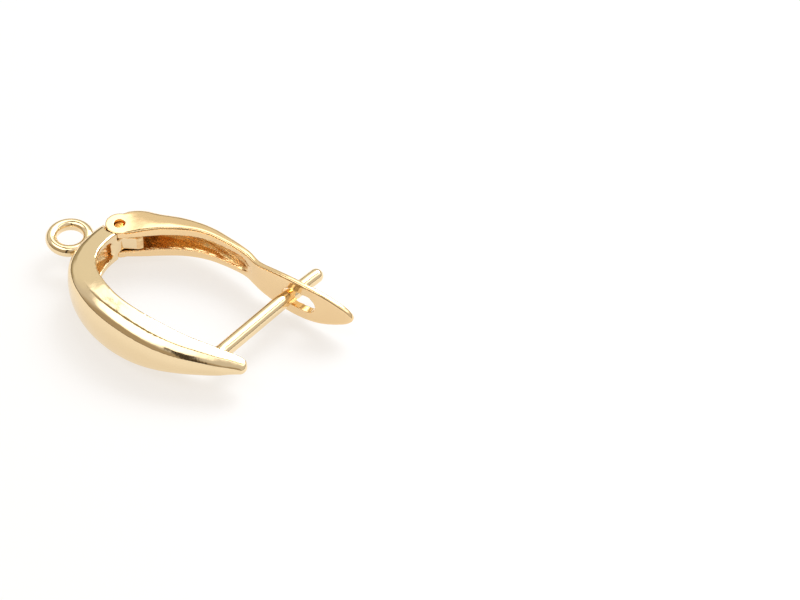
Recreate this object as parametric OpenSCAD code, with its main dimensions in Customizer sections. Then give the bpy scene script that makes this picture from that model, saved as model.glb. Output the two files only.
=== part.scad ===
// Creole hoop earring with a lever back, lying on its side with the hoop level.
// Origin: centre of the drop loop, half way across the hoop.
// +X runs from the front to the lever, +Y from the ear post to the drop loop, +Z across the hoop.

/* [Hoop] */
// Whole length of the earring, from the top of the drop loop to the tip of the lever
earring_l = 19.9; // [19.5:0.1:20.5]
// Distance from the drop loop's centre to the tip of the front
hoop_drop = 14.7; // [13.5:0.1:16]
// How far the front's inner rim stands before the drop loop's centre
front_reach = 4.7; // [4.4:0.1:5.4]

/* [Front] */
// Greatest width of the front, across the hoop
front_w = 3.42; // [3.2:0.02:4]
// Depth of the front's side faces
front_depth = 1.5; // [1.4:0.05:1.8]
// How far the outer face bulges past the side faces
front_bulge = 0.52; // [0.3:0.02:0.7]
// Share of the front's depth that is rounded off towards its outer face
front_round = 0.25; // [0.15:0.01:0.35]
// Share of the outer face that is a bevel along each side face
front_bevel = 0.62; // [0.4:0.02:0.7]
// Slope of that bevel, from the side face
bevel_angle = 24; // [15:1:30]
// Share of the width that is left where the side faces meet the outer face
front_taper = 0.95; // [0.9:0.01:1]
// Thickness of the side walls beside the recess
rim_wall = 0.42; // [0.3:0.02:0.5]
// Thickness of the outer wall behind the recess
back_wall = 0.5; // [0.4:0.02:0.7]
// Size of the small rounding along the inner rims
rim_edge = 0.06; // [0.03:0.01:0.08]

/* [Hinge] */
// Place of the hinge axis behind the drop loop's centre
hinge_x = 1.56; // [1.5:0.02:1.7]
// Distance from the drop loop's centre down to the hinge axis
hinge_drop = 2.6; // [2.4:0.02:2.7]
// Radius of the lever's two round ears
ear_r = 0.86; // [0.8:0.02:0.9]
// Thickness of each ear
ear_wall = 0.46; // [0.4:0.02:0.5]
// Gap round the ears, cut into the hinge end of the front
relief_gap = 0.1; // [0.08:0.01:0.2]
// Radius of the knuckle at the end of the front's tongue
knuckle_r = 0.7; // [0.6:0.02:0.74]
// Gap round the knuckle, between the ears
bay_gap = 0.1; // [0.06:0.01:0.15]
// Gap on each side of the tongue, between the ears
tongue_gap = 0.08; // [0.05:0.01:0.15]
// How far the tongue's nose reaches from the hinge axis
nose_reach = 1.5; // [1.2:0.05:1.6]
// Angle through which the lever opens before its back meets the tongue
open_angle = 60; // [50:1:64]
// Diameter of the rivet
rivet_d = 0.66; // [0.5:0.02:0.7]
// Gap between the rivet and its holes, all round
rivet_gap = 0.02; // [0.01:0.01:0.05]
// How far the rivet's ends lie below the ears' faces
rivet_sink = 0.16; // [0.05:0.01:0.3]

/* [Lever] */
// Greatest distance of the lever's inner rim behind the drop loop's centre
lever_reach = 3.15; // [3:0.05:3.4]
// Width of the lever across its two ears
lever_w = 2.12; // [2.04:0.02:2.3]
// Depth of the lever at its hump, behind the hinge
hump_depth = 2.05; // [1.85:0.05:2.2]
// Thickness of the paddle's plate
plate_t = 0.5; // [0.4:0.02:0.7]
// How far the channel's back bulges past its side walls
lever_bulge = 0.3; // [0.2:0.05:0.4]
// Thickness of the channel's back
channel_back = 0.42; // [0.3:0.02:0.5]
// Share of the lever's depth beyond its plate that is rounded off towards its outer face
lever_round = 0.3; // [0.1:0.05:0.5]

/* [Slot] */
// Length of the slot in the paddle
slot_l = 2.37; // [2.32:0.05:2.82]
// Width of the slot
slot_w = 1.3; // [1.15:0.05:1.6]
// Distance from the drop loop's centre to the slot's end nearest the hinge
slot_drop = 13.54; // [13.5:0.02:13.6]

/* [Ear post] */
// Diameter of the ear post
post_d = 0.96; // [0.7:0.02:1]
// Length of the straight part that carries the lobe, from the front's inner rim
post_straight = 5.7; // [5.5:0.1:6]
// Length of the bent end, from the bend to the round end
post_end = 3.5; // [3.2:0.1:4]
// Diameter of the bent end
post_tip_d = 0.9; // [0.66:0.02:0.94]
// Angle by which the straight part leans away from the hinge
post_lean = 12.8; // [12:0.2:13.6]
// Angle by which the end is bent further
post_bend = 2.7; // [2:0.1:3.5]
// How far the post is let into the front
post_root = 0.5; // [0.3:0.05:0.6]
// Distance from the drop loop's centre down to the foot of the post
post_drop = 12.64; // [12.5:0.02:12.8]
// Length of the solder fillet at the foot
solder_l = 0.55; // [0.5:0.05:0.7]
// How far the solder stands out round the foot
solder_out = 0.14; // [0.05:0.01:0.2]
// Distance from the bend to the middle of the catch notch
notch_place = 1.1; // [0.9:0.05:1.4]
// Depth of the catch notch
notch_depth = 0.12; // [0.05:0.01:0.16]
// Length of the notch
notch_l = 0.8; // [0.6:0.05:1]

/* [Drop loop] */
// Diameter of the loop's hole
loop_hole_d = 1.6; // [1.4:0.02:1.7]
// Diameter of the loop's wire
loop_wire_d = 0.74; // [0.64:0.02:0.78]
// How much of the wire is worn flat round the hole
loop_flat = 0.04; // [0.02:0.01:0.08]

/* [Hidden] */
$fn = 48;
gold = [0.90, 0.75, 0.42];
pale_gold = [0.93, 0.80, 0.50];

lever_drop = earring_l - loop_hole_d / 2 - loop_wire_d + loop_flat;
relief_r = ear_r + relief_gap;
channel_w = lever_w - 2 * ear_wall;
tongue_w = channel_w - 2 * tongue_gap;
bay_r = knuckle_r + bay_gap;
hole_r = rivet_d / 2 + rivet_gap;
arm_start = ear_r - 0.02; // half the depth of the lever's first section, a little inside the round ears
ear_facing = 33; // direction that the lever's first section faces in, at the hinge axis
wall_start = 26; // direction from the hinge axis in which the channel's back begins
shoulder = wall_start + open_angle + 2; // direction of the tongue's shoulder, which stops the back
nose_angle = -70; // direction that the nose points in
paddle_lean = -6; // direction that the paddle's plate faces in at the slot

// Columns of the two tables of sections:
// reach, the inner rim's place along X, as a share of the named reach
function reach(row) = row[0];
// drop, the inner rim's place along -Y, as a share of the named drop
function drop(row) = row[1];
// facing, the direction that the section's depth runs in, in degrees from +X
function facing(row) = row[2];
// depth of the side faces, as a share of front_depth or of the hump's extra depth
function depth(row) = row[3];
// bulge of the outer face, as a share of the named bulge
function bulge(row) = row[4];
// width across the hoop, as a share of the named width
function width(row) = row[5];

// Sections of the front, from inside the hinge relief to the tip
front_rows = [
    [0.255, 0.216, 69, 0.90, 0.30, 0.66],
    [0.096, 0.197, 75, 0.89, 0.35, 0.68],
    [-0.064, 0.187, 85, 0.88, 0.40, 0.71],
    [-0.234, 0.188, 100, 0.91, 0.45, 0.76],
    [-0.423, 0.208, 116, 1.00, 0.50, 0.82],
    [-0.572, 0.242, 133, 1.01, 0.55, 0.88],
    [-0.696, 0.291, 144, 1.00, 0.65, 0.94],
    [-0.796, 0.342, 151, 0.97, 0.75, 0.98],
    [-0.879, 0.397, 159, 0.93, 0.85, 1.00],
    [-0.949, 0.468, 167, 0.90, 0.95, 1.00],
    [-0.991, 0.555, 174, 0.90, 1.00, 0.94],
    [-1.000, 0.644, 180, 0.89, 0.95, 0.81],
    [-0.989, 0.729, 185, 0.81, 0.85, 0.67],
    [-0.957, 0.808, 188, 0.71, 0.75, 0.56],
    [-0.921, 0.884, 190, 0.61, 0.62, 0.43],
    [-0.891, 0.932, 189, 0.52, 0.53, 0.33],
    [-0.879, 0.969, 187, 0.44, 0.45, 0.26],
    [-0.894, 0.988, 185, 0.35, 0.40, 0.20],
    [-0.932, 0.998, 183, 0.17, 0.25, 0.11],
    [-0.960, 1.001, 182, 0.05, 0.08, 0.04]];

// Sections of the lever, from the hinge axis to the paddle's tip
lever_rows = [
    [(hinge_x - arm_start * cos(ear_facing)) / lever_reach,
        (hinge_drop + arm_start * sin(ear_facing)) / lever_drop,
        ear_facing, (2 * arm_start - plate_t) / (hump_depth - plate_t), 0.00, 0.985],
    [0.381, 0.197, 31, 1.00, 0.00, 1.050],
    [0.540, 0.236, 30, 0.96, 0.20, 1.132],
    [0.698, 0.277, 28, 0.67, 0.60, 1.151],
    [0.857, 0.331, 23, 0.45, 0.90, 1.151],
    [0.959, 0.380, 14, 0.25, 1.00, 1.151],
    [1.000, 0.429, 4, 0.13, 1.05, 1.114],
    [0.990, 0.478, -6, 0.04, 1.00, 1.055],
    [0.952, 0.532, -9, 0.00, 0.80, 0.991],
    [0.895, 0.575, -17, 0.00, 0.40, 0.943],
    [0.794, 0.613, -26, 0.00, 0.10, 0.943],
    [0.724, 0.646, -18, 0.00, 0.06, 1.039],
    [0.667, 0.689, -11, 0.00, 0.06, 1.178],
    [0.613, 0.738, -10, 0.00, 0.06, 1.301],
    [0.571, 0.787, -7, 0.00, 0.06, 1.340],
    [0.543, 0.836, -4, 0.00, 0.06, 1.303],
    [0.537, 0.885, 0, 0.00, 0.06, 1.171],
    [0.546, 0.934, 3, 0.00, 0.06, 0.877],
    [0.562, 0.972, 4, -0.03, 0.06, 0.565],
    [0.571, 0.992, 4, -0.08, 0.05, 0.282],
    [0.580, 1.000, 4, -0.16, 0.03, 0.064]];

// Direction from the hinge axis and distance from it, as shares of the relief's radius, of the
// corners of the tongue's foot
foot_corners = [
    [shoulder, 0.72],
    [shoulder, 1.06],
    [112, 1.10],
    [135, 1.38],
    [147, 1.55],
    [186, 1.35],
    [205, 1.02],
    [225, 0.74]];

// Row between rows, along a smooth curve through all of them
function row_at(rows, s) =
    let (last = len(rows) - 1,
         i = min(floor(s), last - 1),
         f = s - i,
         a = rows[max(i - 1, 0)], b = rows[i], c = rows[i + 1], d = rows[min(i + 2, last)])
    b + f * ((c - a) / 2 + f * (a - 2.5 * b + 2 * c - d / 2 + f * (1.5 * (b - c) + (d - a) / 2)));

// Spacing of the rings, in rows, and steps round the outer face
ring_step = 1 / 3;
round_steps = 9;
// Power that makes the lever's round corners squarer than an ellipse, which has 1
lever_squareness = 0.84;

// Half of a section, from the inner rim over the side face, a bevel and the round outer face: [depth, height]
function half_section(deep, out, w, soft, taper, bevel, squareness) =
    let (edge = w / 2 * taper,
         across = bevel * (out + soft),
         down = min(across * tan(bevel_angle), edge * 0.4),
         first = bevel > 0 ? 84 : 90)
    concat(
        [[0, w / 2 - min(rim_edge, w / 4)], [min(rim_edge, deep / 4), w / 2]],
        bevel > 0 ? [[deep - soft, edge]] : [],
        [for (i = [0 : round_steps])
            let (t = first * (1 - i / round_steps))
            [deep - soft + across + (out + soft - across) * pow(cos(t), squareness),
             (edge - down) * pow(sin(t), squareness)]]);

// Half of a cutter's section, open towards the inside of the hoop
function half_cut(deep, w) =
    [[-rim_wall, w / 2], [deep * 0.7, w / 2], [deep * 0.93, w * 0.43], [deep, w * 0.3], [deep, 0]];

// The whole section: the half, then its mirror image without the point on the middle plane
function whole(half) = concat(half, [for (i = [len(half) - 2 : -1 : 0]) [half[i][0], -half[i][1]]]);

// A section's points in space, at the place and in the direction of a row of real sizes
function placed(section, z) =
    [for (p = section) [reach(z) + p[0] * cos(facing(z)), drop(z) + p[0] * sin(facing(z)), p[1]]];

// The front's section at row s, as a row of real sizes
function front_sizes(s) =
    let (r = row_at(front_rows, s))
    [reach(r) * front_reach, -drop(r) * hoop_drop, facing(r), depth(r) * front_depth,
        bulge(r) * front_bulge, width(r) * front_w];

// The lever's section at row s, as a row of real sizes
function lever_sizes(s) =
    let (r = row_at(lever_rows, s))
    [reach(r) * lever_reach, -drop(r) * lever_drop, facing(r),
        plate_t + depth(r) * (hump_depth - plate_t), bulge(r) * lever_bulge, width(r) * lever_w];

function front_ring(s) =
    let (z = front_sizes(s))
    placed(whole(half_section(depth(z), bulge(z), width(z), depth(z) * front_round,
        front_taper, front_bevel, 1)), z);

function lever_soft(deep) = 0.3 * plate_t + lever_round * (deep - plate_t);

function lever_ring(s) =
    let (z = lever_sizes(s))
    placed(whole(half_section(depth(z), bulge(z), width(z), lever_soft(depth(z)),
        1, 0, lever_squareness)), z);

// How open the recess is at row s: round at its hinge end, pointed at its tip end
recess_from = 0.9;
recess_to = 12.4;
function recess_share(s) =
    let (u = (s - recess_from) / (recess_to - recess_from))
    max(0.06, min(1, sqrt(u / 0.06)) * min(1, pow((1 - u) / 0.42, 0.75)));
function recess_ramp(s) = min(1, 0.3 + (s - recess_from) / 2.6);

function recess_ring(s) =
    let (z = front_sizes(s),
         k = recess_share(s),
         d = (depth(z) + bulge(z) - back_wall) * recess_ramp(s) * sqrt(k))
    placed(whole(half_cut(d, (width(z) - 2 * rim_wall) * k)), z);

// The lever's channel, narrowing and running out at row channel_to
channel_to = 9.7;
function channel_ring(s) =
    let (z = lever_sizes(s),
         k = min(1, sqrt((channel_to - s) / 1.2)),
         d = max(plate_t * 0.1, (depth(z) + bulge(z) - channel_back) * min(1, (channel_to - s) / 1.2)))
    placed(whole(half_cut(d, channel_w * max(0.2, k))), z);

// Solid through rings that all have the same number of points
module loft(rings) {
    n = len(rings[0]);
    last = len(rings) - 1;
    polyhedron(
        points = [for (ring = rings) for (p = ring) p],
        faces = concat(
            [[for (i = [n - 1 : -1 : 0]) i]],
            [[for (i = [0 : n - 1]) last * n + i]],
            [for (k = [0 : last - 1]) for (i = [0 : n - 1])
                let (j = (i + 1) % n) [k * n + i, k * n + j, (k + 1) * n + j]],
            [for (k = [0 : last - 1]) for (i = [0 : n - 1])
                let (j = (i + 1) % n) [k * n + i, (k + 1) * n + j, (k + 1) * n + i]]));
}

// The same rings, when they run the other way round the hoop
function backwards(rings) = [for (i = [len(rings) - 1 : -1 : 0]) rings[i]];

module at_hinge() {
    translate([hinge_x, -hinge_drop, 0]) children();
}

module rivet_hole() {
    at_hinge() cylinder(h = 2 * lever_w, r = hole_r, center = true);
}

module tongue_foot() {
    linear_extrude(height = tongue_w, center = true)
        polygon([for (c = foot_corners) c[1] * relief_r * [cos(c[0]), sin(c[0])]]);
}

module tongue_nose() {
    rotate([0, 0, nose_angle])
        linear_extrude(height = tongue_w, center = true)
            polygon([
                [0, knuckle_r * 0.8],
                [nose_reach * 0.8, knuckle_r * 0.72],
                [nose_reach, knuckle_r * 0.45],
                [nose_reach, -knuckle_r * 0.6],
                [nose_reach * 0.85, -knuckle_r * 0.8],
                [0, -knuckle_r * 0.9]]);
}

module tongue() {
    difference() {
        at_hinge() union() {
            cylinder(h = tongue_w, r = knuckle_r, center = true);
            tongue_foot();
            tongue_nose();
        }
        rivet_hole();
    }
}

module drop_loop() {
    rotate_extrude()
        difference() {
            translate([(loop_hole_d + loop_wire_d) / 2 - loop_flat, 0])
                circle(d = loop_wire_d);
            translate([0, -loop_wire_d])
                square([loop_hole_d / 2, 2 * loop_wire_d]);
        }
}

module rod(l, r1, r2) {
    rotate([0, 90, 0]) cylinder(h = l, r1 = r1, r2 = r2);
}

module post_end() {
    notch_r = notch_l / 2;
    difference() {
        union() {
            translate([-post_root / 2, 0, 0])
                rod(post_root / 2 + post_end - post_tip_d / 2, post_tip_d / 2, post_tip_d / 2);
            translate([post_end - post_tip_d / 2, 0, 0]) sphere(d = post_tip_d);
        }
        translate([notch_place, post_tip_d / 2 + notch_r - notch_depth, 0])
            cylinder(h = 2 * post_d, r = notch_r, center = true);
    }
}

// Cone that thins out over the fillet's length and goes on a little inside the post
module solder() {
    beyond = solder_l / 2;
    thinning = solder_out / (post_root + solder_l);
    translate([-post_root, 0, 0])
        rod(post_root + solder_l + beyond, post_d / 2 + solder_out, post_d / 2 - beyond * thinning);
}

module ear_post() {
    translate([-front_reach * 0.94, -post_drop, 0])
        rotate([0, 0, -post_lean]) {
            translate([-post_root, 0, 0]) rod(post_root + post_straight, post_d / 2, post_d / 2);
            solder();
            translate([post_straight, 0, 0]) rotate([0, 0, -post_bend]) post_end();
        }
}

module front() {
    color(gold) union() {
        difference() {
            loft(backwards([for (s = [0 : ring_step : len(front_rows) - 1]) front_ring(s)]));
            loft(backwards([for (i = [0 : 24])
                recess_ring(recess_from + (recess_to - recess_from) * (1 - cos(i / 24 * 180)) / 2)]));
            at_hinge() cylinder(h = 2 * front_w, r = relief_r, center = true);
        }
        tongue();
        drop_loop();
        ear_post();
    }
}

// Room between the ears for the knuckle and for the tongue's foot, in every position
module hinge_bay() {
    at_hinge() cylinder(h = channel_w, r = bay_r, center = true);
    at_hinge() linear_extrude(height = channel_w, center = true)
        polygon(concat([[0, 0]], [for (a = [wall_start, 70, 120, 170, 216]) ear_r * 2.5 * [cos(a), sin(a)]]));
}

module slot() {
    mid = slot_drop + slot_l / 2;
    place = 0.565 * lever_reach;
    half = (slot_l - slot_w) / 2;
    translate([place, -mid, 0])
        rotate([0, 90, paddle_lean]) {
            translate([0, half, 0]) cylinder(h = 4 * plate_t, d = slot_w, center = true);
            translate([0, -half, 0]) cylinder(h = 4 * plate_t, d = slot_w, center = true);
            cube([slot_w, 2 * half, 4 * plate_t], center = true);
        }
}

module lever() {
    color(pale_gold) difference() {
        union() {
            loft([for (s = [0 : ring_step : len(lever_rows) - 1]) lever_ring(s)]);
            at_hinge() cylinder(h = lever_w, r = ear_r, center = true);
        }
        loft([for (s = [0 : 0.5 : channel_to]) channel_ring(s)]);
        hinge_bay();
        rivet_hole();
        slot();
    }
}

module rivet() {
    color(gold) at_hinge() cylinder(h = lever_w - 2 * rivet_sink, d = rivet_d, center = true);
}

front();
lever();
rivet();
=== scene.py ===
"""Looks of the creole hoop earring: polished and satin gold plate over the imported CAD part."""

import math

import bmesh
import bpy
import numpy as np
from mathutils import Matrix, Vector
from mathutils.bvhtree import BVHTree

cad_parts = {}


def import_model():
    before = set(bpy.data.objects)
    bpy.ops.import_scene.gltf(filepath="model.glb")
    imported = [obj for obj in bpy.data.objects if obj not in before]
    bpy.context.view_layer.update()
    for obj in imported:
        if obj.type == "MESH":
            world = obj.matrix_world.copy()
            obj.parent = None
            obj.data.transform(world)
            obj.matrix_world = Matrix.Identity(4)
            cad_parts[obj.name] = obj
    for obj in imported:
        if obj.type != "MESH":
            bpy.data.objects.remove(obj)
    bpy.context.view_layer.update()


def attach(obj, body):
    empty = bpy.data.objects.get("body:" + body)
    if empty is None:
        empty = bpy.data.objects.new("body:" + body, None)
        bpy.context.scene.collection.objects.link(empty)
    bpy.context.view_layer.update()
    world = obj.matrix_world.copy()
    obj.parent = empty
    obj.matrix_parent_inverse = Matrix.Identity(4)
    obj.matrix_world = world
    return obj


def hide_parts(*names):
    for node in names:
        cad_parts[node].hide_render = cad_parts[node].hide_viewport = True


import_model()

MM = 0.001

# ---- sizes in millimetres and degrees, as in the part's source
EARRING_L = 19.9
HOOP_DROP = 14.7
FRONT_REACH = 4.7
FRONT_W = 3.42
FRONT_DEPTH = 1.5
FRONT_BULGE = 0.52
FRONT_BEVEL = 0.62
BEVEL_ANGLE = 24
FRONT_TAPER = 0.95
RIM_WALL = 0.42
BACK_WALL = 0.5
HINGE = (1.56, -2.6)
EAR_R = 0.86
EAR_WALL = 0.46
RELIEF_GAP = 0.1
KNUCKLE_R = 0.7
BAY_GAP = 0.1
TONGUE_GAP = 0.08
NOSE_REACH = 1.5
OPEN_ANGLE = 60
RIVET_D = 0.66
RIVET_GAP = 0.02
RIVET_SINK = 0.16
LEVER_REACH = 3.15
LEVER_W = 2.12
HUMP_DEPTH = 2.05
PLATE_T = 0.5
LEVER_BULGE = 0.3
CHANNEL_BACK = 0.42
SLOT_L = 2.37
SLOT_W = 1.3
SLOT_DROP = 13.54
POST_D = 0.96
POST_STRAIGHT = 5.7
POST_END = 3.5
POST_TIP_D = 0.9
POST_LEAN = 12.8
POST_BEND = 2.7
POST_ROOT = 0.5
POST_DROP = 12.64
SOLDER_L = 0.55
SOLDER_OUT = 0.14
NOTCH_PLACE = 1.1
NOTCH_DEPTH = 0.12
NOTCH_L = 0.8
LOOP_HOLE_D = 1.6
LOOP_WIRE_D = 0.74
LOOP_FLAT = 0.04

LEVER_DROP = EARRING_L - LOOP_HOLE_D / 2 - LOOP_WIRE_D + LOOP_FLAT
RELIEF_R = EAR_R + RELIEF_GAP
CHANNEL_W = LEVER_W - 2 * EAR_WALL
TONGUE_W = CHANNEL_W - 2 * TONGUE_GAP
BAY_R = KNUCKLE_R + BAY_GAP
HOLE_R = RIVET_D / 2 + RIVET_GAP
ARM_START = EAR_R - 0.02
EAR_FACING = 33
WALL_START = 26
SHOULDER = WALL_START + OPEN_ANGLE + 2
NOSE_ANGLE = -70
PADDLE_LEAN = -6

# ---- how the sections are drawn. The rims' rounding, the lever's rounding and its crown are the
# scene's own, and differ from the part's source
RIM_ROUND = 0.12
ROUND_START = 84  # degrees at which the rounded back begins
BEVEL_MOST = 0.4  # share of the half width that the bevel may take
FRONT_ROUND = 0.25  # share of the depth that is rounded
PLATE_ROUND = 0.42  # share of the plate's thickness that is rounded
LEVER_ROUND_ROWS, LEVER_ROUND = (0.3, 2.5), (0.04, 0.34)  # and the share of the rest of the depth
LEVER_CROWN_ROWS, LEVER_CROWN = (0.6, 2, 6, 9), (1, 0.95, 0.955, 1)  # outer width over inner
CROWN_POWER = 2.6
LEVER_SQUARENESS = 0.9  # power of the rounded back, 1 for an ellipse

# Steps along a half section and along a body, and sides of round things
RIM_STEPS, FRONT_FLAT_STEPS, LEVER_FLAT_STEPS, BEVEL_STEPS, ROUND_STEPS = 4, 4, 10, 6, 26
SOFT_BEFORE, SOFT_AFTER = 3, 9  # points that the soft crease takes before and after the corner
FRONT_STEPS, RECESS_STEPS, LEVER_STEPS, CHANNEL_STEPS = 190, 60, 200, 100
ROD_SIDES, DISC_SIDES, LOOP_SIDES, WIRE_SIDES = 64, 128, 96, 32
SMOOTH_FACTOR = 0.5


def cosd(a):
    return math.cos(math.radians(a))


def sind(a):
    return math.sin(math.radians(a))


def steps(a, b, n):
    return [a + (b - a) * i / n for i in range(n + 1)]


# Rows from the hinge's end to the tip. Columns: reach and drop of the inner rim, facing in
# degrees, depth, bulge, width. All but the facing are shares of the sizes above
REACH, DROP, FACING, DEPTH, BULGE, WIDTH = range(6)
FRONT_ROWS = np.array([
    [0.255, 0.216, 69, 0.90, 0.30, 0.66],
    [0.096, 0.197, 75, 0.89, 0.35, 0.68],
    [-0.064, 0.187, 85, 0.88, 0.40, 0.71],
    [-0.234, 0.188, 100, 0.91, 0.45, 0.76],
    [-0.423, 0.208, 116, 1.00, 0.50, 0.82],
    [-0.572, 0.242, 133, 1.01, 0.55, 0.88],
    [-0.696, 0.291, 144, 1.00, 0.65, 0.94],
    [-0.796, 0.342, 151, 0.97, 0.75, 0.98],
    [-0.879, 0.397, 159, 0.93, 0.85, 1.00],
    [-0.949, 0.468, 167, 0.90, 0.95, 1.00],
    [-0.991, 0.555, 174, 0.90, 1.00, 0.94],
    [-1.000, 0.644, 180, 0.89, 0.95, 0.81],
    [-0.989, 0.729, 185, 0.81, 0.85, 0.67],
    [-0.957, 0.808, 188, 0.71, 0.75, 0.56],
    [-0.921, 0.884, 190, 0.61, 0.62, 0.43],
    [-0.891, 0.932, 189, 0.52, 0.53, 0.33],
    [-0.879, 0.969, 187, 0.44, 0.45, 0.26],
    [-0.894, 0.988, 185, 0.35, 0.40, 0.20],
    [-0.932, 0.998, 183, 0.17, 0.25, 0.11],
    [-0.960, 1.001, 182, 0.05, 0.08, 0.04]])

LEVER_ROWS = np.array([
    [(HINGE[0] - ARM_START * cosd(EAR_FACING)) / LEVER_REACH,
     (-HINGE[1] + ARM_START * sind(EAR_FACING)) / LEVER_DROP,
     EAR_FACING, (2 * ARM_START - PLATE_T) / (HUMP_DEPTH - PLATE_T), 0.00, 0.985],
    [0.381, 0.197, 31, 1.05, 0.00, 1.025],
    [0.540, 0.236, 30, 1.00, 0.20, 1.115],
    [0.698, 0.277, 28, 0.67, 0.60, 1.160],
    [0.857, 0.331, 23, 0.45, 0.90, 1.151],
    [0.959, 0.380, 14, 0.25, 1.00, 1.151],
    [1.000, 0.429, 4, 0.13, 1.05, 1.114],
    [0.990, 0.478, -6, 0.04, 1.00, 1.055],
    [0.952, 0.532, -9, 0.00, 0.80, 0.991],
    [0.895, 0.575, -17, 0.00, 0.40, 0.943],
    [0.794, 0.613, -26, 0.00, 0.10, 0.943],
    [0.724, 0.646, -18, 0.00, 0.06, 1.039],
    [0.667, 0.689, -11, 0.00, 0.06, 1.178],
    [0.613, 0.738, -10, 0.00, 0.06, 1.301],
    [0.571, 0.787, -7, 0.00, 0.06, 1.340],
    [0.543, 0.836, -4, 0.00, 0.06, 1.303],
    [0.537, 0.885, 0, 0.00, 0.06, 1.171],
    [0.546, 0.934, 3, 0.00, 0.06, 0.877],
    [0.562, 0.972, 4, -0.03, 0.06, 0.565],
    [0.571, 0.992, 4, -0.08, 0.05, 0.282],
    [0.580, 1.000, 4, -0.16, 0.03, 0.064]])


def row_at(rows, s):
    """Row between rows, along a smooth curve through all of them."""
    last = len(rows) - 1
    i = min(int(s), last - 1)
    f = s - i
    a, b, c, d = rows[max(i - 1, 0)], rows[i], rows[i + 1], rows[min(i + 2, last)]
    bend = a - 2.5 * b + 2 * c - d / 2 + f * (1.5 * (b - c) + (d - a) / 2)
    return b + f * ((c - a) / 2 + f * bend)


def front_sizes(s):
    r = row_at(FRONT_ROWS, s)
    return r * [FRONT_REACH, -HOOP_DROP, 1, FRONT_DEPTH, FRONT_BULGE, FRONT_W]


def lever_sizes(s):
    r = row_at(LEVER_ROWS, s)
    z = r * [LEVER_REACH, -LEVER_DROP, 1, HUMP_DEPTH - PLATE_T, LEVER_BULGE, LEVER_W]
    z[DEPTH] += PLATE_T
    return z


# ---- sections, as (depth, height) points from the inner rim to the middle of the back
def half_section(deep, out, w, soft, taper, bevel, squareness):
    """Rounded rim, side, bevel if there is one, and rounded back."""
    edge, across = w / 2 * taper, bevel * (out + soft)
    down = min(across * math.tan(math.radians(BEVEL_ANGLE)), edge * BEVEL_MOST)
    ex, ey = min(RIM_ROUND, deep / 4), min(RIM_ROUND, w / 4)
    pts = [(ex * (1 - sind(a)), w / 2 - ey * (1 - cosd(a))) for a in steps(90, 0, RIM_STEPS)]
    flat = deep - soft
    cuts = FRONT_FLAT_STEPS if bevel else LEVER_FLAT_STEPS
    for k in range(1, cuts):
        f = k / cuts
        lean = f if bevel else f ** CROWN_POWER
        pts.append((ex + (flat - ex) * f, w / 2 * (1 - (1 - taper) * lean)))
    if bevel:
        for k in range(BEVEL_STEPS):
            pts.append((flat + across * k / BEVEL_STEPS, edge - down * k / BEVEL_STEPS))
    crease = len(pts)
    for i in range(ROUND_STEPS + 1):
        t = ROUND_START * (1 - i / ROUND_STEPS)
        back = flat + across + (out + soft - across) * cosd(t) ** squareness
        pts.append((back, (edge - down) * sind(t) ** squareness))
    return softened(pts, crease - SOFT_BEFORE, crease, crease + SOFT_AFTER) if bevel else pts


def softened(pts, first, crease, last):
    """The section with its crease drawn as one soft curve from one point to another."""
    a, corner, b = (np.array(pts[i]) for i in (first, crease, last))
    for i in range(first, last + 1):
        f = (i - first) / (last - first)
        pts[i] = tuple((1 - f) ** 2 * a + 2 * f * (1 - f) * corner + f * f * b)
    return pts


# A hollow's section: where its side ends, and its floor's corner, in shares of depth and width
CUT_SIDE_DEPTH, CUT_SIDE_W = 0.5, 0.99
CUT_FLOOR_FROM, CUT_FLOOR_ROUND = 0.62, 0.38
CUT_HALF_FLOOR, CUT_HALF_ROUND = 0.24, 0.25
CUT_STEPS = 6


def half_cut(deep, w):
    """Straight sides from above the rim, and a floor with rounded corners."""
    pts = [(-RIM_WALL, w / 2), (0, w / 2), (deep * CUT_SIDE_DEPTH, w / 2 * CUT_SIDE_W)]
    for k in range(CUT_STEPS + 1):
        a = 90 * (1 - k / CUT_STEPS)
        pts.append((deep * CUT_FLOOR_FROM + deep * CUT_FLOOR_ROUND * cosd(a),
                    w * (CUT_HALF_FLOOR + CUT_HALF_ROUND * sind(a))))
    return pts + [(deep, 0)]


def whole(half):
    return half + [(d, -h) for d, h in half[-2::-1]]


def placed(section, z):
    c, s = cosd(z[FACING]), sind(z[FACING])
    return [(z[REACH] + d * c, z[DROP] + d * s, h) for d, h in section]


def front_ring(s):
    z = front_sizes(s)
    half = half_section(z[DEPTH], z[BULGE], z[WIDTH], z[DEPTH] * FRONT_ROUND,
                        FRONT_TAPER, FRONT_BEVEL, 1)
    return placed(whole(half), z)


def lever_ring(s):
    z = lever_sizes(s)
    rounded = np.interp(s, LEVER_ROUND_ROWS, LEVER_ROUND)
    soft = PLATE_ROUND * PLATE_T + rounded * (z[DEPTH] - PLATE_T)
    crown = np.interp(s, LEVER_CROWN_ROWS, LEVER_CROWN)
    half = half_section(z[DEPTH], z[BULGE], z[WIDTH], soft, crown, 0, LEVER_SQUARENESS)
    return placed(whole(half), z)


# The rows between which the front is hollow, the shares of that length in which the recess opens
# and closes, the power of its narrow end, its least width, and its ramp: depth at the start, rows
RECESS_FROM, RECESS_TO = 0.9, 12.4
RECESS_OPENS, RECESS_CLOSES, RECESS_POWER = 0.06, 0.42, 0.75
RECESS_LEAST_W = 0.06
RAMP_START, RAMP_ROWS = 0.3, 2.6
# The row where the lever's channel ends, the rows over which it closes, and how far it closes
CHANNEL_TO, CHANNEL_END_ROWS = 9.7, 1.2
CHANNEL_LEAST_DEPTH, CHANNEL_LEAST_W = 0.1, 0.2  # shares of the plate's thickness and the width


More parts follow.
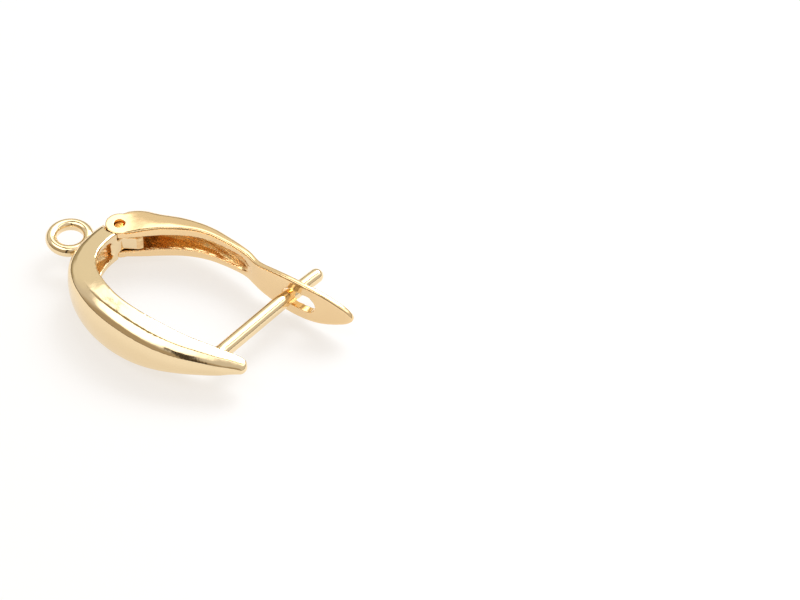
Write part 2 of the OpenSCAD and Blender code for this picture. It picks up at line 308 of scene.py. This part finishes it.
def recess_ring(s):
    z = front_sizes(s)
    u = (s - RECESS_FROM) / (RECESS_TO - RECESS_FROM)
    opening = min(1, math.sqrt(max(u, 0) / RECESS_OPENS))
    closing = min(1, (max(1 - u, 0) / RECESS_CLOSES) ** RECESS_POWER)
    k = max(RECESS_LEAST_W, opening * closing)
    ramp = min(1, RAMP_START + (s - RECESS_FROM) / RAMP_ROWS)
    deep = (z[DEPTH] + z[BULGE] - BACK_WALL) * ramp * math.sqrt(k)
    return placed(whole(half_cut(deep, (z[WIDTH] - 2 * RIM_WALL) * k)), z)


def channel_ring(s):
    z = lever_sizes(s)
    end = max(0, (CHANNEL_TO - s) / CHANNEL_END_ROWS)
    full = z[DEPTH] + z[BULGE] - CHANNEL_BACK
    deep = max(PLATE_T * CHANNEL_LEAST_DEPTH, full * min(1, end))
    wide = CHANNEL_W * max(CHANNEL_LEAST_W, min(1, math.sqrt(end)))
    return placed(whole(half_cut(deep, wide)), z)


def linked(name, data):
    obj = bpy.data.objects.new(name, data)
    bpy.context.scene.collection.objects.link(obj)
    return obj


# ---- meshes, made in millimetres
def new_object(name, bm):
    bmesh.ops.recalc_face_normals(bm, faces=bm.faces)
    mesh = bpy.data.meshes.new(name)
    bm.to_mesh(mesh)
    bm.free()
    return linked(name, mesh)


def loft(name, rings):
    bm = bmesh.new()
    loops = [[bm.verts.new(p) for p in ring] for ring in rings]
    n = len(loops[0])
    for a, b in zip(loops, loops[1:]):
        for i in range(n):
            bm.faces.new((a[i], a[(i + 1) % n], b[(i + 1) % n], b[i]))
    bm.faces.new(loops[0][::-1])
    bm.faces.new(loops[-1])
    return new_object(name, bm)


def circle(r, n):
    return [(r * cosd(360 * i / n), r * sind(360 * i / n)) for i in range(n)]


def rod(name, profile):
    """Round rod along X through (place, radius) pairs."""
    return loft(name, [[(x, y, z) for y, z in circle(r, ROD_SIDES)] for x, r in profile])


def prism(name, outline, h):
    return loft(name, [[(x, y, z) for x, y in outline] for z in (-h / 2, h / 2)])


def disc(name, x, y, r, h):
    return prism(name, [(x + dx, y + dy) for dx, dy in circle(r, DISC_SIDES)], h)


def torus(name, ring_r, wire_r, hole_r):
    """Ring of round wire, its inner side dressed to a true hole."""
    bm = bmesh.new()
    loops = []
    for i in range(LOOP_SIDES):
        a = 360 * i / LOOP_SIDES
        loops.append([])
        for j in range(WIRE_SIDES):
            b = 360 * j / WIRE_SIDES
            r = max(ring_r + wire_r * cosd(b), hole_r)
            loops[-1].append(bm.verts.new((r * cosd(a), r * sind(a), wire_r * sind(b))))
    for i in range(LOOP_SIDES):
        a, b = loops[i], loops[(i + 1) % LOOP_SIDES]
        for j in range(WIRE_SIDES):
            k = (j + 1) % WIRE_SIDES
            bm.faces.new((a[j], a[k], b[k], b[j]))
    return new_object(name, bm)


def apply_modifiers(obj):
    bpy.context.view_layer.update()
    done = obj.evaluated_get(bpy.context.evaluated_depsgraph_get())
    mesh = bpy.data.meshes.new_from_object(done)
    obj.modifiers.clear()
    old, obj.data = obj.data, mesh
    bpy.data.meshes.remove(old)


def cut(obj, *cutters):
    for c in cutters:
        m = obj.modifiers.new("cut", "BOOLEAN")
        m.operation, m.solver, m.object = "DIFFERENCE", "MANIFOLD", c
        apply_modifiers(obj)
        bpy.data.objects.remove(c)


def move(obj, matrix):
    obj.data.transform(matrix)
    return obj


def joined(name, parts):
    bm = bmesh.new()
    for p in parts:
        bm.from_mesh(p.data)
        bpy.data.objects.remove(p)
    return new_object(name, bm)


def skin(obj, voxel, smooth):
    """One closed skin over all that overlaps, with its edges softened as polishing does."""
    m = obj.modifiers.new("skin", "REMESH")
    m.mode, m.voxel_size, m.use_smooth_shade = "VOXEL", voxel, True
    m = obj.modifiers.new("soft", "SMOOTH")
    m.factor, m.iterations = SMOOTH_FACTOR, smooth
    apply_modifiers(obj)


def bvh(obj):
    bm = bmesh.new()
    bm.from_mesh(obj.data)
    tree = BVHTree.FromBMesh(bm)
    bm.free()
    return tree


def shift(x, y, z=0):
    return Matrix.Translation((x, y, z))


def turn(a, axis="Z"):
    return Matrix.Rotation(math.radians(a), 4, axis)


def share(obj, values):
    """The share of rough cast finish, against polished, at each point of the mesh."""
    a = obj.data.attributes.new("cast", "FLOAT", "POINT")
    a.data.foreach_set("value", np.asarray(values, dtype=np.float32))


def coords(obj):
    co = np.empty(len(obj.data.vertices) * 3, np.float32)
    obj.data.vertices.foreach_get("co", co)
    return co.reshape(-1, 3)


def inside_share(obj, outer, near, far, keep):
    """1 where the skin lies well inside the outer form, as a recess does, and 0 on that form."""
    out = []
    for p in coords(obj):
        hit = outer.find_nearest(Vector([float(v) for v in p]))
        d = hit[3] if hit[3] is not None else 0
        out.append(min(1, max(0, (d - near) / (far - near))) if keep(p) else 0.0)
    return out


# ---- the front half
# Outlines of the tongue: its foot in degrees and shares of the relief's radius round the hinge,
# and its nose in shares of its reach and of the knuckle's radius
FOOT = [(SHOULDER, 0.72), (SHOULDER, 1.06), (112, 1.10), (135, 1.38),
        (147, 1.55), (186, 1.35), (205, 1.02), (225, 0.74)]
NOSE = [(0, 0.8), (0.8, 0.72), (1, 0.45), (1, -0.6), (0.85, -0.8), (0, -0.9)]


def tongue():
    at = shift(*HINGE)
    foot = [(r * RELIEF_R * cosd(a), r * RELIEF_R * sind(a)) for a, r in FOOT]
    nose = [(x * NOSE_REACH, y * KNUCKLE_R) for x, y in NOSE]
    return [disc("knuckle", *HINGE, KNUCKLE_R, TONGUE_W),
            move(prism("foot", foot, TONGUE_W), at),
            move(move(prism("nose", nose, TONGUE_W), turn(NOSE_ANGLE)), at)]


POST_PLACE = 0.94  # share of the front's reach at which the post is soldered on
SOLDER_AT_ROOT, SOLDER_HALFWAY = 0.55, 0.2  # shares of the solder's full thickness
SOLDER_FIT, ELBOW_FIT = 0.98, 0.99  # shares of the post's radius, so that no two faces coincide
ELBOW_IN = 0.15
NECK_FROM, NECK_L, NECK_STEPS = 0.1, 0.6, 20  # along it the bent end narrows
TIP_STEPS, TIP_R = 12, 0.002


def ear_post():
    r, t = POST_D / 2, POST_TIP_D / 2
    root = shift(-FRONT_REACH * POST_PLACE, -POST_DROP) @ turn(-POST_LEAN)
    straight = rod("straight", [(-POST_ROOT, r), (POST_STRAIGHT, r)])
    solder = rod("solder", [
        (-POST_ROOT, r + SOLDER_OUT), (0, r + SOLDER_OUT * SOLDER_AT_ROOT),
        (SOLDER_L / 2, r + SOLDER_OUT * SOLDER_HALFWAY), (SOLDER_L, r * SOLDER_FIT)])
    neck = [(x, t + (r - t) * max(0, 1 - x / NECK_L))
            for x in steps(NECK_FROM, POST_END - t, NECK_STEPS)]
    tip = [(POST_END - t + t * sind(a), max(TIP_R, t * cosd(a)))
           for a in steps(0, 90, TIP_STEPS)[1:]]
    end = rod("end", [(-ELBOW_IN, t), (0, r * ELBOW_FIT), *neck, *tip])
    nr = NOTCH_L / 2
    cut(end, disc("notch", NOTCH_PLACE, t + nr - NOTCH_DEPTH, nr, 2 * POST_D))
    move(end, root @ shift(POST_STRAIGHT, 0) @ turn(-POST_BEND))
    return [move(straight, root), move(solder, root), end]


FRONT_VOXEL, FRONT_SMOOTH = 0.06, 5
FRONT_CAST = (0.08, 0.25)  # depths below the outer form between which the cast finish sets in
FRONT_CAST_MOST = 0.6
# What stays polished: circles round the loop and the hinge, all below a height, and all that
# lies below and to the right of a point
LOOP_CLEAR, KNUCKLE_CLEAR = 1.62, 1.25
RECESS_LOW = -12.2
RECESS_SIDE, RECESS_SIDE_LOW = -1.92, -6


def in_recess(p):
    """Whether a point can lie in the front's recess."""
    loop = np.hypot(p[0], p[1]) < LOOP_CLEAR
    knuckle = np.hypot(p[0] - HINGE[0], p[1] - HINGE[1]) < KNUCKLE_CLEAR
    left = p[1] > RECESS_SIDE_LOW or p[0] < RECESS_SIDE
    return p[1] > RECESS_LOW and not loop and not knuckle and left


def front():
    shell = loft("shell", [front_ring(s) for s in steps(0, len(FRONT_ROWS) - 1, FRONT_STEPS)])
    outer = bvh(shell)
    us = [(1 - cosd(180 * i / RECESS_STEPS)) / 2 for i in range(RECESS_STEPS + 1)]
    recess = loft("recess", [recess_ring(RECESS_FROM + (RECESS_TO - RECESS_FROM) * u) for u in us])
    cut(shell, recess, disc("relief", *HINGE, RELIEF_R, 2 * FRONT_W))
    loop = torus("loop", (LOOP_HOLE_D + LOOP_WIRE_D) / 2 - LOOP_FLAT,
                 LOOP_WIRE_D / 2, LOOP_HOLE_D / 2)
    obj = joined("front_half", [shell, *tongue(), loop, *ear_post()])
    skin(obj, FRONT_VOXEL, FRONT_SMOOTH)
    share(obj, FRONT_CAST_MOST * np.array(inside_share(obj, outer, *FRONT_CAST, in_recess)))
    return obj


# ---- the lever
LEVER_VOXEL, LEVER_SMOOTH = 0.05, 4
LEVER_CAST = (0.06, 0.2)
CHANNEL_LOW, CHANNEL_TOP = -10.9, -3.6  # heights between which the channel is as cast
SLOT_PLACE, SLOT_STEPS = 0.565, 24  # share of the lever's reach, and steps round either end
FAN_ANGLES, FAN_R = (WALL_START, 70, 120, 170, 216), EAR_R * 2.5  # room for the tongue
BAY_EXTRA, FAN_EXTRA = 0.012, 0.016  # over the channel's width, so that no two faces coincide


def in_channel(p):
    return CHANNEL_LOW < p[1] < CHANNEL_TOP


def slot_cutter():
    r, half = SLOT_W / 2, (SLOT_L - SLOT_W) / 2
    oval = [(r * cosd(a), half + r * sind(a)) for a in steps(0, 180, SLOT_STEPS)]
    oval += [(r * cosd(a), -half + r * sind(a)) for a in steps(180, 360, SLOT_STEPS)]
    at = shift(SLOT_PLACE * LEVER_REACH, -(SLOT_DROP + SLOT_L / 2))
    return move(prism("slot", oval, 4 * PLATE_T), at @ turn(PADDLE_LEAN) @ turn(90, "Y"))


def lever():
    body = loft("body", [lever_ring(s) for s in steps(0, len(LEVER_ROWS) - 1, LEVER_STEPS)])
    outer = bvh(body)
    channel = loft("channel", [channel_ring(s) for s in steps(0, CHANNEL_TO, CHANNEL_STEPS)])
    cut(body, channel, slot_cutter())
    fan = [HINGE] + [(HINGE[0] + FAN_R * cosd(a), HINGE[1] + FAN_R * sind(a)) for a in FAN_ANGLES]
    cut(body, disc("bay", *HINGE, BAY_R, CHANNEL_W + BAY_EXTRA),
        prism("fan", fan, CHANNEL_W + FAN_EXTRA))
    ears = []
    for side in (-1, 1):
        at = shift(0, 0, side * (LEVER_W - EAR_WALL) / 2)
        ears.append(move(disc("ear", *HINGE, EAR_R, EAR_WALL), at))
    obj = joined("lever_arm", [body, *ears])
    skin(obj, LEVER_VOXEL, LEVER_SMOOTH)
    cut(obj, disc("hole", *HINGE, HOLE_R, 2 * LEVER_W))
    share(obj, inside_share(obj, outer, *LEVER_CAST, in_channel))
    return obj


# ---- the rivet. Its end, outward from the middle: how far it stands out, share of the radius
RIVET_HEAD = [(0.02, 0.5), (0, 0.8), (-0.08, 1)]
RIVET_CROWN, RIVET_MIDDLE_R = 0.03, 0.01


def rivet():
    r, h = RIVET_D / 2, LEVER_W - 2 * RIVET_SINK
    prof = [(-h / 2 - RIVET_CROWN, RIVET_MIDDLE_R)]
    prof += [(-h / 2 - out, r * k) for out, k in RIVET_HEAD]
    prof += [(-x, rr) for x, rr in prof[::-1]]
    obj = rod("rivet_pin", prof)
    move(obj, shift(*HINGE) @ turn(90, "Y"))
    obj.data.shade_smooth()
    share(obj, [1.0] * len(obj.data.vertices))
    return obj


# ---- nodes, of the materials and of the world
MIX_SOCKETS = {"RGBA": (6, 7, 2), "FLOAT": (2, 3, 0)}  # a Mix node's two inputs and its result


def feed(tree, socket, value):
    """Link another node's output to a socket, or set the socket to a plain value."""
    if isinstance(value, bpy.types.NodeSocket):
        tree.links.new(value, socket)
    else:
        socket.default_value = value


def mixed(tree, kind, fac, a, b):
    n = tree.nodes.new("ShaderNodeMix")
    n.data_type = kind
    first, second, result = MIX_SOCKETS[kind]
    for socket, value in ((0, fac), (first, a), (second, b)):
        feed(tree, n.inputs[socket], value)
    return n.outputs[result]


def maths(tree, kind, a, b):
    n = tree.nodes.new("ShaderNodeMath")
    n.operation = kind
    for socket, value in enumerate((a, b)):
        feed(tree, n.inputs[socket], value)
    return n.outputs[0]


def mapped(tree, kind, value, low, high, to_low=0, to_high=1):
    n = tree.nodes.new("ShaderNodeMapRange")
    n.interpolation_type = kind
    limits = {"From Min": low, "From Max": high, "To Min": to_low, "To Max": to_high}
    for socket, v in {"Value": value, **limits}.items():
        feed(tree, n.inputs[socket], v)
    return n.outputs["Result"]


# ---- materials. Noises: scale per metre and detail, and their heights in the bump
GRAIN, CLOUD, WAVE, CAST_GRAIN, PITS = (9000, 3), (500, 2), (1500, 1), (2600, 3), (11000, 2)
GRAIN_H, WAVE_H, CAST_GRAIN_H, PITS_H = 0.03, 0.28, 2.2, 0.2
NOISE_LOW, NOISE_HIGH = 0.3, 0.7  # between these lies most of a noise
CAST_STRETCH = (1, 0.22, 1.6)
TONE_LOW, CAST_TONE_LOW = (0.96, 0.96, 0.96), (0.75, 0.5, 0.3)  # darkest share of each colour
ROUGH_RANGE, CAST_ROUGH_RANGE = (0.7, 1.4), (0.6, 1.3)  # shares of the stated roughness
BUMP_DISTANCE, BUMP_STRENGTH = 0.00004, 0.8


def gold(name, colour, cast_colour, rough, cast_rough):
    """Polished plate, with a cast finish where the mesh's share of it says so."""
    mat = bpy.data.materials.new(name)
    mat.use_nodes = True
    tree = mat.node_tree
    nodes, links = tree.nodes, tree.links
    bsdf = nodes["Principled BSDF"]
    bsdf.inputs["Metallic"].default_value = 1.0
    cast = nodes.new("ShaderNodeAttribute")
    cast.attribute_name = "cast"
    where = nodes.new("ShaderNodeTexCoord")

    def noise(scale, detail, stretch=None):
        n = nodes.new("ShaderNodeTexNoise")
        n.inputs["Scale"].default_value = scale
        n.inputs["Detail"].default_value = detail
        place = where.outputs["Object"]
        if stretch:
            m = nodes.new("ShaderNodeMapping")
            m.inputs["Scale"].default_value = stretch
            links.new(place, m.inputs["Vector"])
            place = m.outputs["Vector"]
        links.new(place, n.inputs["Vector"])
        return n.outputs["Fac"]

    def ramp(value, to_low, to_high, low=NOISE_LOW, high=NOISE_HIGH):
        return mapped(tree, "LINEAR", value, low, high, to_low, to_high)

    def plus(a, b):
        return maths(tree, "ADD", a, b)

    def tones(fac, bright, low):
        dark = (*[c * k for c, k in zip(bright, low)], 1)
        return mixed(tree, "RGBA", fac, dark, (*bright, 1))

    def finish(kind, plated, as_cast):
        return mixed(tree, kind, cast.outputs["Fac"], plated, as_cast)

    grain, cloud, wave = noise(*GRAIN), noise(*CLOUD), noise(*WAVE)
    cast_grain, pits = noise(*CAST_GRAIN, CAST_STRETCH), noise(*PITS)
    tone = finish("RGBA", tones(cloud, colour, TONE_LOW),
                  tones(ramp(cast_grain, 0, 1), cast_colour, CAST_TONE_LOW))
    links.new(tone, bsdf.inputs["Base Color"])
    roughness = finish("FLOAT", ramp(cloud, *[rough * k for k in ROUGH_RANGE], 0, 1),
                       ramp(pits, *[cast_rough * k for k in CAST_ROUGH_RANGE]))
    links.new(roughness, bsdf.inputs["Roughness"])
    height = finish("FLOAT", plus(ramp(grain, 0, GRAIN_H, 0, 1), ramp(wave, 0, WAVE_H, 0, 1)),
                    plus(ramp(cast_grain, 0, CAST_GRAIN_H), ramp(pits, 0, PITS_H)))
    bump = nodes.new("ShaderNodeBump")
    bump.inputs["Distance"].default_value = BUMP_DISTANCE
    bump.inputs["Strength"].default_value = BUMP_STRENGTH
    links.new(height, bump.inputs["Height"])
    links.new(bump.outputs["Normal"], bsdf.inputs["Normal"])
    return mat


def dressed(obj, node, body, mat):
    obj.data.transform(Matrix.Scale(MM, 4))
    obj.data.materials.clear()
    obj.data.materials.append(mat)
    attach(obj, body)
    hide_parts(node)


POLISHED, SATIN = (0.93, 0.74, 0.46), (0.94, 0.69, 0.385)
CAST_GOLD, RIVET_CAST_GOLD = (1.0, 0.77, 0.40), (0.97, 0.55, 0.17)
polished = gold("polished_gold", POLISHED, CAST_GOLD, rough=0.08, cast_rough=0.26)
satin = gold("satin_gold", SATIN, CAST_GOLD, rough=0.11, cast_rough=0.26)
riveted = gold("rivet_gold", POLISHED, RIVET_CAST_GOLD, rough=0.08, cast_rough=0.22)
dressed(front(), "front", "front", polished)
dressed(lever(), "lever", "lever", satin)
dressed(rivet(), "rivet", "front", riveted)


# ---- floor, light and camera
BOARD_SIZE, BOARD_Z = 0.8, -0.00172
BOARD_COLOUR, BOARD_ROUGHNESS = (0.16, 0.185, 0.215, 1), 0.45
# Painted light on the board: it glows, which lifts the shadows on it, and the glow's warm tint
# stands in for light thrown back from the gold into those shadows. The base colour is bluish so
# that the lit board still adds up to white
BOARD_PAINTED_LIGHT, BOARD_PAINTED_LIGHT_STRENGTH = (1.0, 0.94, 0.88, 1), 0.735


def floor():
    bpy.ops.mesh.primitive_plane_add(size=BOARD_SIZE, location=(0, 0, BOARD_Z))
    obj = bpy.context.object
    obj.name = "floor"
    mat = bpy.data.materials.new("white_board")
    mat.use_nodes = True
    bsdf = mat.node_tree.nodes["Principled BSDF"]
    bsdf.inputs["Base Color"].default_value = BOARD_COLOUR
    bsdf.inputs["Roughness"].default_value = BOARD_ROUGHNESS
    # painted light: the board's glow lifts its shadows and tints them warm
    bsdf.inputs["Emission Color"].default_value = BOARD_PAINTED_LIGHT
    bsdf.inputs["Emission Strength"].default_value = BOARD_PAINTED_LIGHT_STRENGTH
    obj.data.materials.append(mat)


EYE = Vector((-0.1786025, -0.1169123, 0.2189829))
RIGHT = Vector((0.465013, -0.885301, -0.002173))
UP = Vector((0.643702, 0.336423, 0.687363))
AHEAD = Vector((0.607792, 0.321032, -0.726311))
FOCAL_PX, IMAGE_W, SENSOR_MM = 5040, 800, 36


def camera():
    cam = bpy.data.cameras.new("camera")
    cam.sensor_width = SENSOR_MM
    cam.lens = FOCAL_PX / IMAGE_W * SENSOR_MM
    cam.clip_start, cam.clip_end = 0.01, 10
    obj = linked("camera", cam)
    m = Matrix((RIGHT, UP, -AHEAD)).transposed().to_4x4()
    m.translation = EYE
    obj.matrix_world = m
    bpy.context.scene.camera = obj


KEY_PLACE, KEY_TARGET = Vector((0.34, -0.06, 0.33)), Vector((0, -0.008, 0))
KEY_SIZE, KEY_POWER = 0.28, 1.6


def key_light():
    light = bpy.data.lights.new("key", "AREA")
    light.shape, light.size, light.energy = "DISK", KEY_SIZE, KEY_POWER
    obj = linked("key", light)
    obj.location = KEY_PLACE
    obj.rotation_euler = (KEY_TARGET - KEY_PLACE).to_track_quat("-Z", "Y").to_euler()


# ---- the white tent round the piece, by direction. Heights are in degrees, and so is how far
# the roof's lights reach. Fades, half widths and soft edges are in dot products
TENT_BASE = (0.66, 0.63, 0.59)
# The lit parts of its roof: direction, degrees from it where each begins and ends to fade, colour
TENT = [
    ((0.62, -0.10, 0.78), 28, 46, (2.3, 2.26, 2.2)),
    ((-0.10, 0.30, 0.95), 16, 32, (2.4, 2.36, 2.3)),
]
# The back wall below the lit roof, and its shaded foot
WALL_AHEAD, WALL_FADE = (0.906, 0.423, 0), (0.3, 0.6)
WALL_TOP, WALL_SOFT, WALL_COLOUR = 40, 0.06, (0.82, 0.79, 0.70)
WALL_FOOT_TOP, WALL_FOOT_SOFT, WALL_FOOT_COLOUR = 12, 0.2, (0.42, 0.37, 0.26)
# Seams of the roof: azimuth and half width
SEAMS = [(62, 0.17), (-43, 0.06)]
SEAM_SOFT, SEAM_FADE, SEAM_COLOUR = 0.03, (0.65, 0.8), (0.32, 0.27, 0.17)
# The dim gap between the white board and the roof, on the camera's side
GAP_AHEAD, GAP_FADE = (-0.966, 0.259, 0), (0.35, 0.65)
GAP_TOP, GAP_SOFT, GAP_COLOUR = 45, 0.15, (0.42, 0.345, 0.25)
# The dark line all round where the board ends
LINE_LOW, LINE_HIGH, LINE_SOFT, LINE_COLOUR = -4, 3, 0.1, (0.16, 0.13, 0.09)
# The dark upright stand in the gap
STAND_ACROSS, STAND_HALF_W, STAND_SIDE_SOFT = (0.225, -0.974, 0), 0.05, 0.03
STAND_AHEAD, STAND_FROM, STAND_SOFT = (-0.974, -0.225, 0), 0.38, 0.1
STAND_COLOUR = (0.06, 0.045, 0.03)
LEAST, BEYOND = -1, 2  # the least that a dot product can be, and more than the most


def world():
    w = bpy.data.worlds.new("tent")
    w.use_nodes = True
    tree = w.node_tree
    look = tree.nodes.new("ShaderNodeTexCoord").outputs["Generated"]

    def along(direction):
        n = tree.nodes.new("ShaderNodeVectorMath")
        n.operation = "DOT_PRODUCT"
        feed(tree, n.inputs[0], look)
        feed(tree, n.inputs[1], Vector(direction).normalized())
        return n.outputs["Value"]

    def fade(value, low, high):
        return mapped(tree, "SMOOTHSTEP", value, low, high)

    def both(a, b):
        return maths(tree, "MULTIPLY", a, b)

    def between(value, low, high, soft):
        above = fade(value, low - soft, low)
        return both(above, maths(tree, "SUBTRACT", 1, fade(value, high, high + soft)))

    def over(last, amount, tone):
        return mixed(tree, "RGBA", amount, last, (*tone, 1))

    height = along((0, 0, 1))
    colour = (*TENT_BASE, 1)
    for direction, near, far, tone in TENT:
        colour = over(colour, fade(along(direction), cosd(far), cosd(near)), tone)
    wall = fade(along(WALL_AHEAD), *WALL_FADE)
    back = between(height, LEAST, sind(WALL_TOP), WALL_SOFT)
    colour = over(colour, both(back, wall), WALL_COLOUR)
    for azimuth, half_width in SEAMS:
        c, s = cosd(azimuth), sind(azimuth)
        line = between(along((-s, c, 0)), -half_width, half_width, SEAM_SOFT)
        ahead = between(along((c, s, 0)), SEAM_SOFT, BEYOND, SEAM_SOFT)
        colour = over(colour, both(line, both(ahead, fade(height, *SEAM_FADE))), SEAM_COLOUR)
    foot = between(height, LEAST, sind(WALL_FOOT_TOP), WALL_FOOT_SOFT)
    colour = over(colour, both(foot, wall), WALL_FOOT_COLOUR)
    gap = both(between(height, 0, sind(GAP_TOP), GAP_SOFT), fade(along(GAP_AHEAD), *GAP_FADE))
    colour = over(colour, gap, GAP_COLOUR)
    colour = over(colour, between(height, sind(LINE_LOW), sind(LINE_HIGH), LINE_SOFT), LINE_COLOUR)
    stand = both(between(along(STAND_ACROSS), -STAND_HALF_W, STAND_HALF_W, STAND_SIDE_SOFT),
                 between(along(STAND_AHEAD), STAND_FROM, BEYOND, STAND_SOFT))
    colour = over(colour, stand, STAND_COLOUR)
    feed(tree, tree.nodes["Background"].inputs["Color"], colour)
    bpy.context.scene.world = w


floor()
camera()
world()
key_light()
bpy.context.scene.view_settings.view_transform = "Standard"
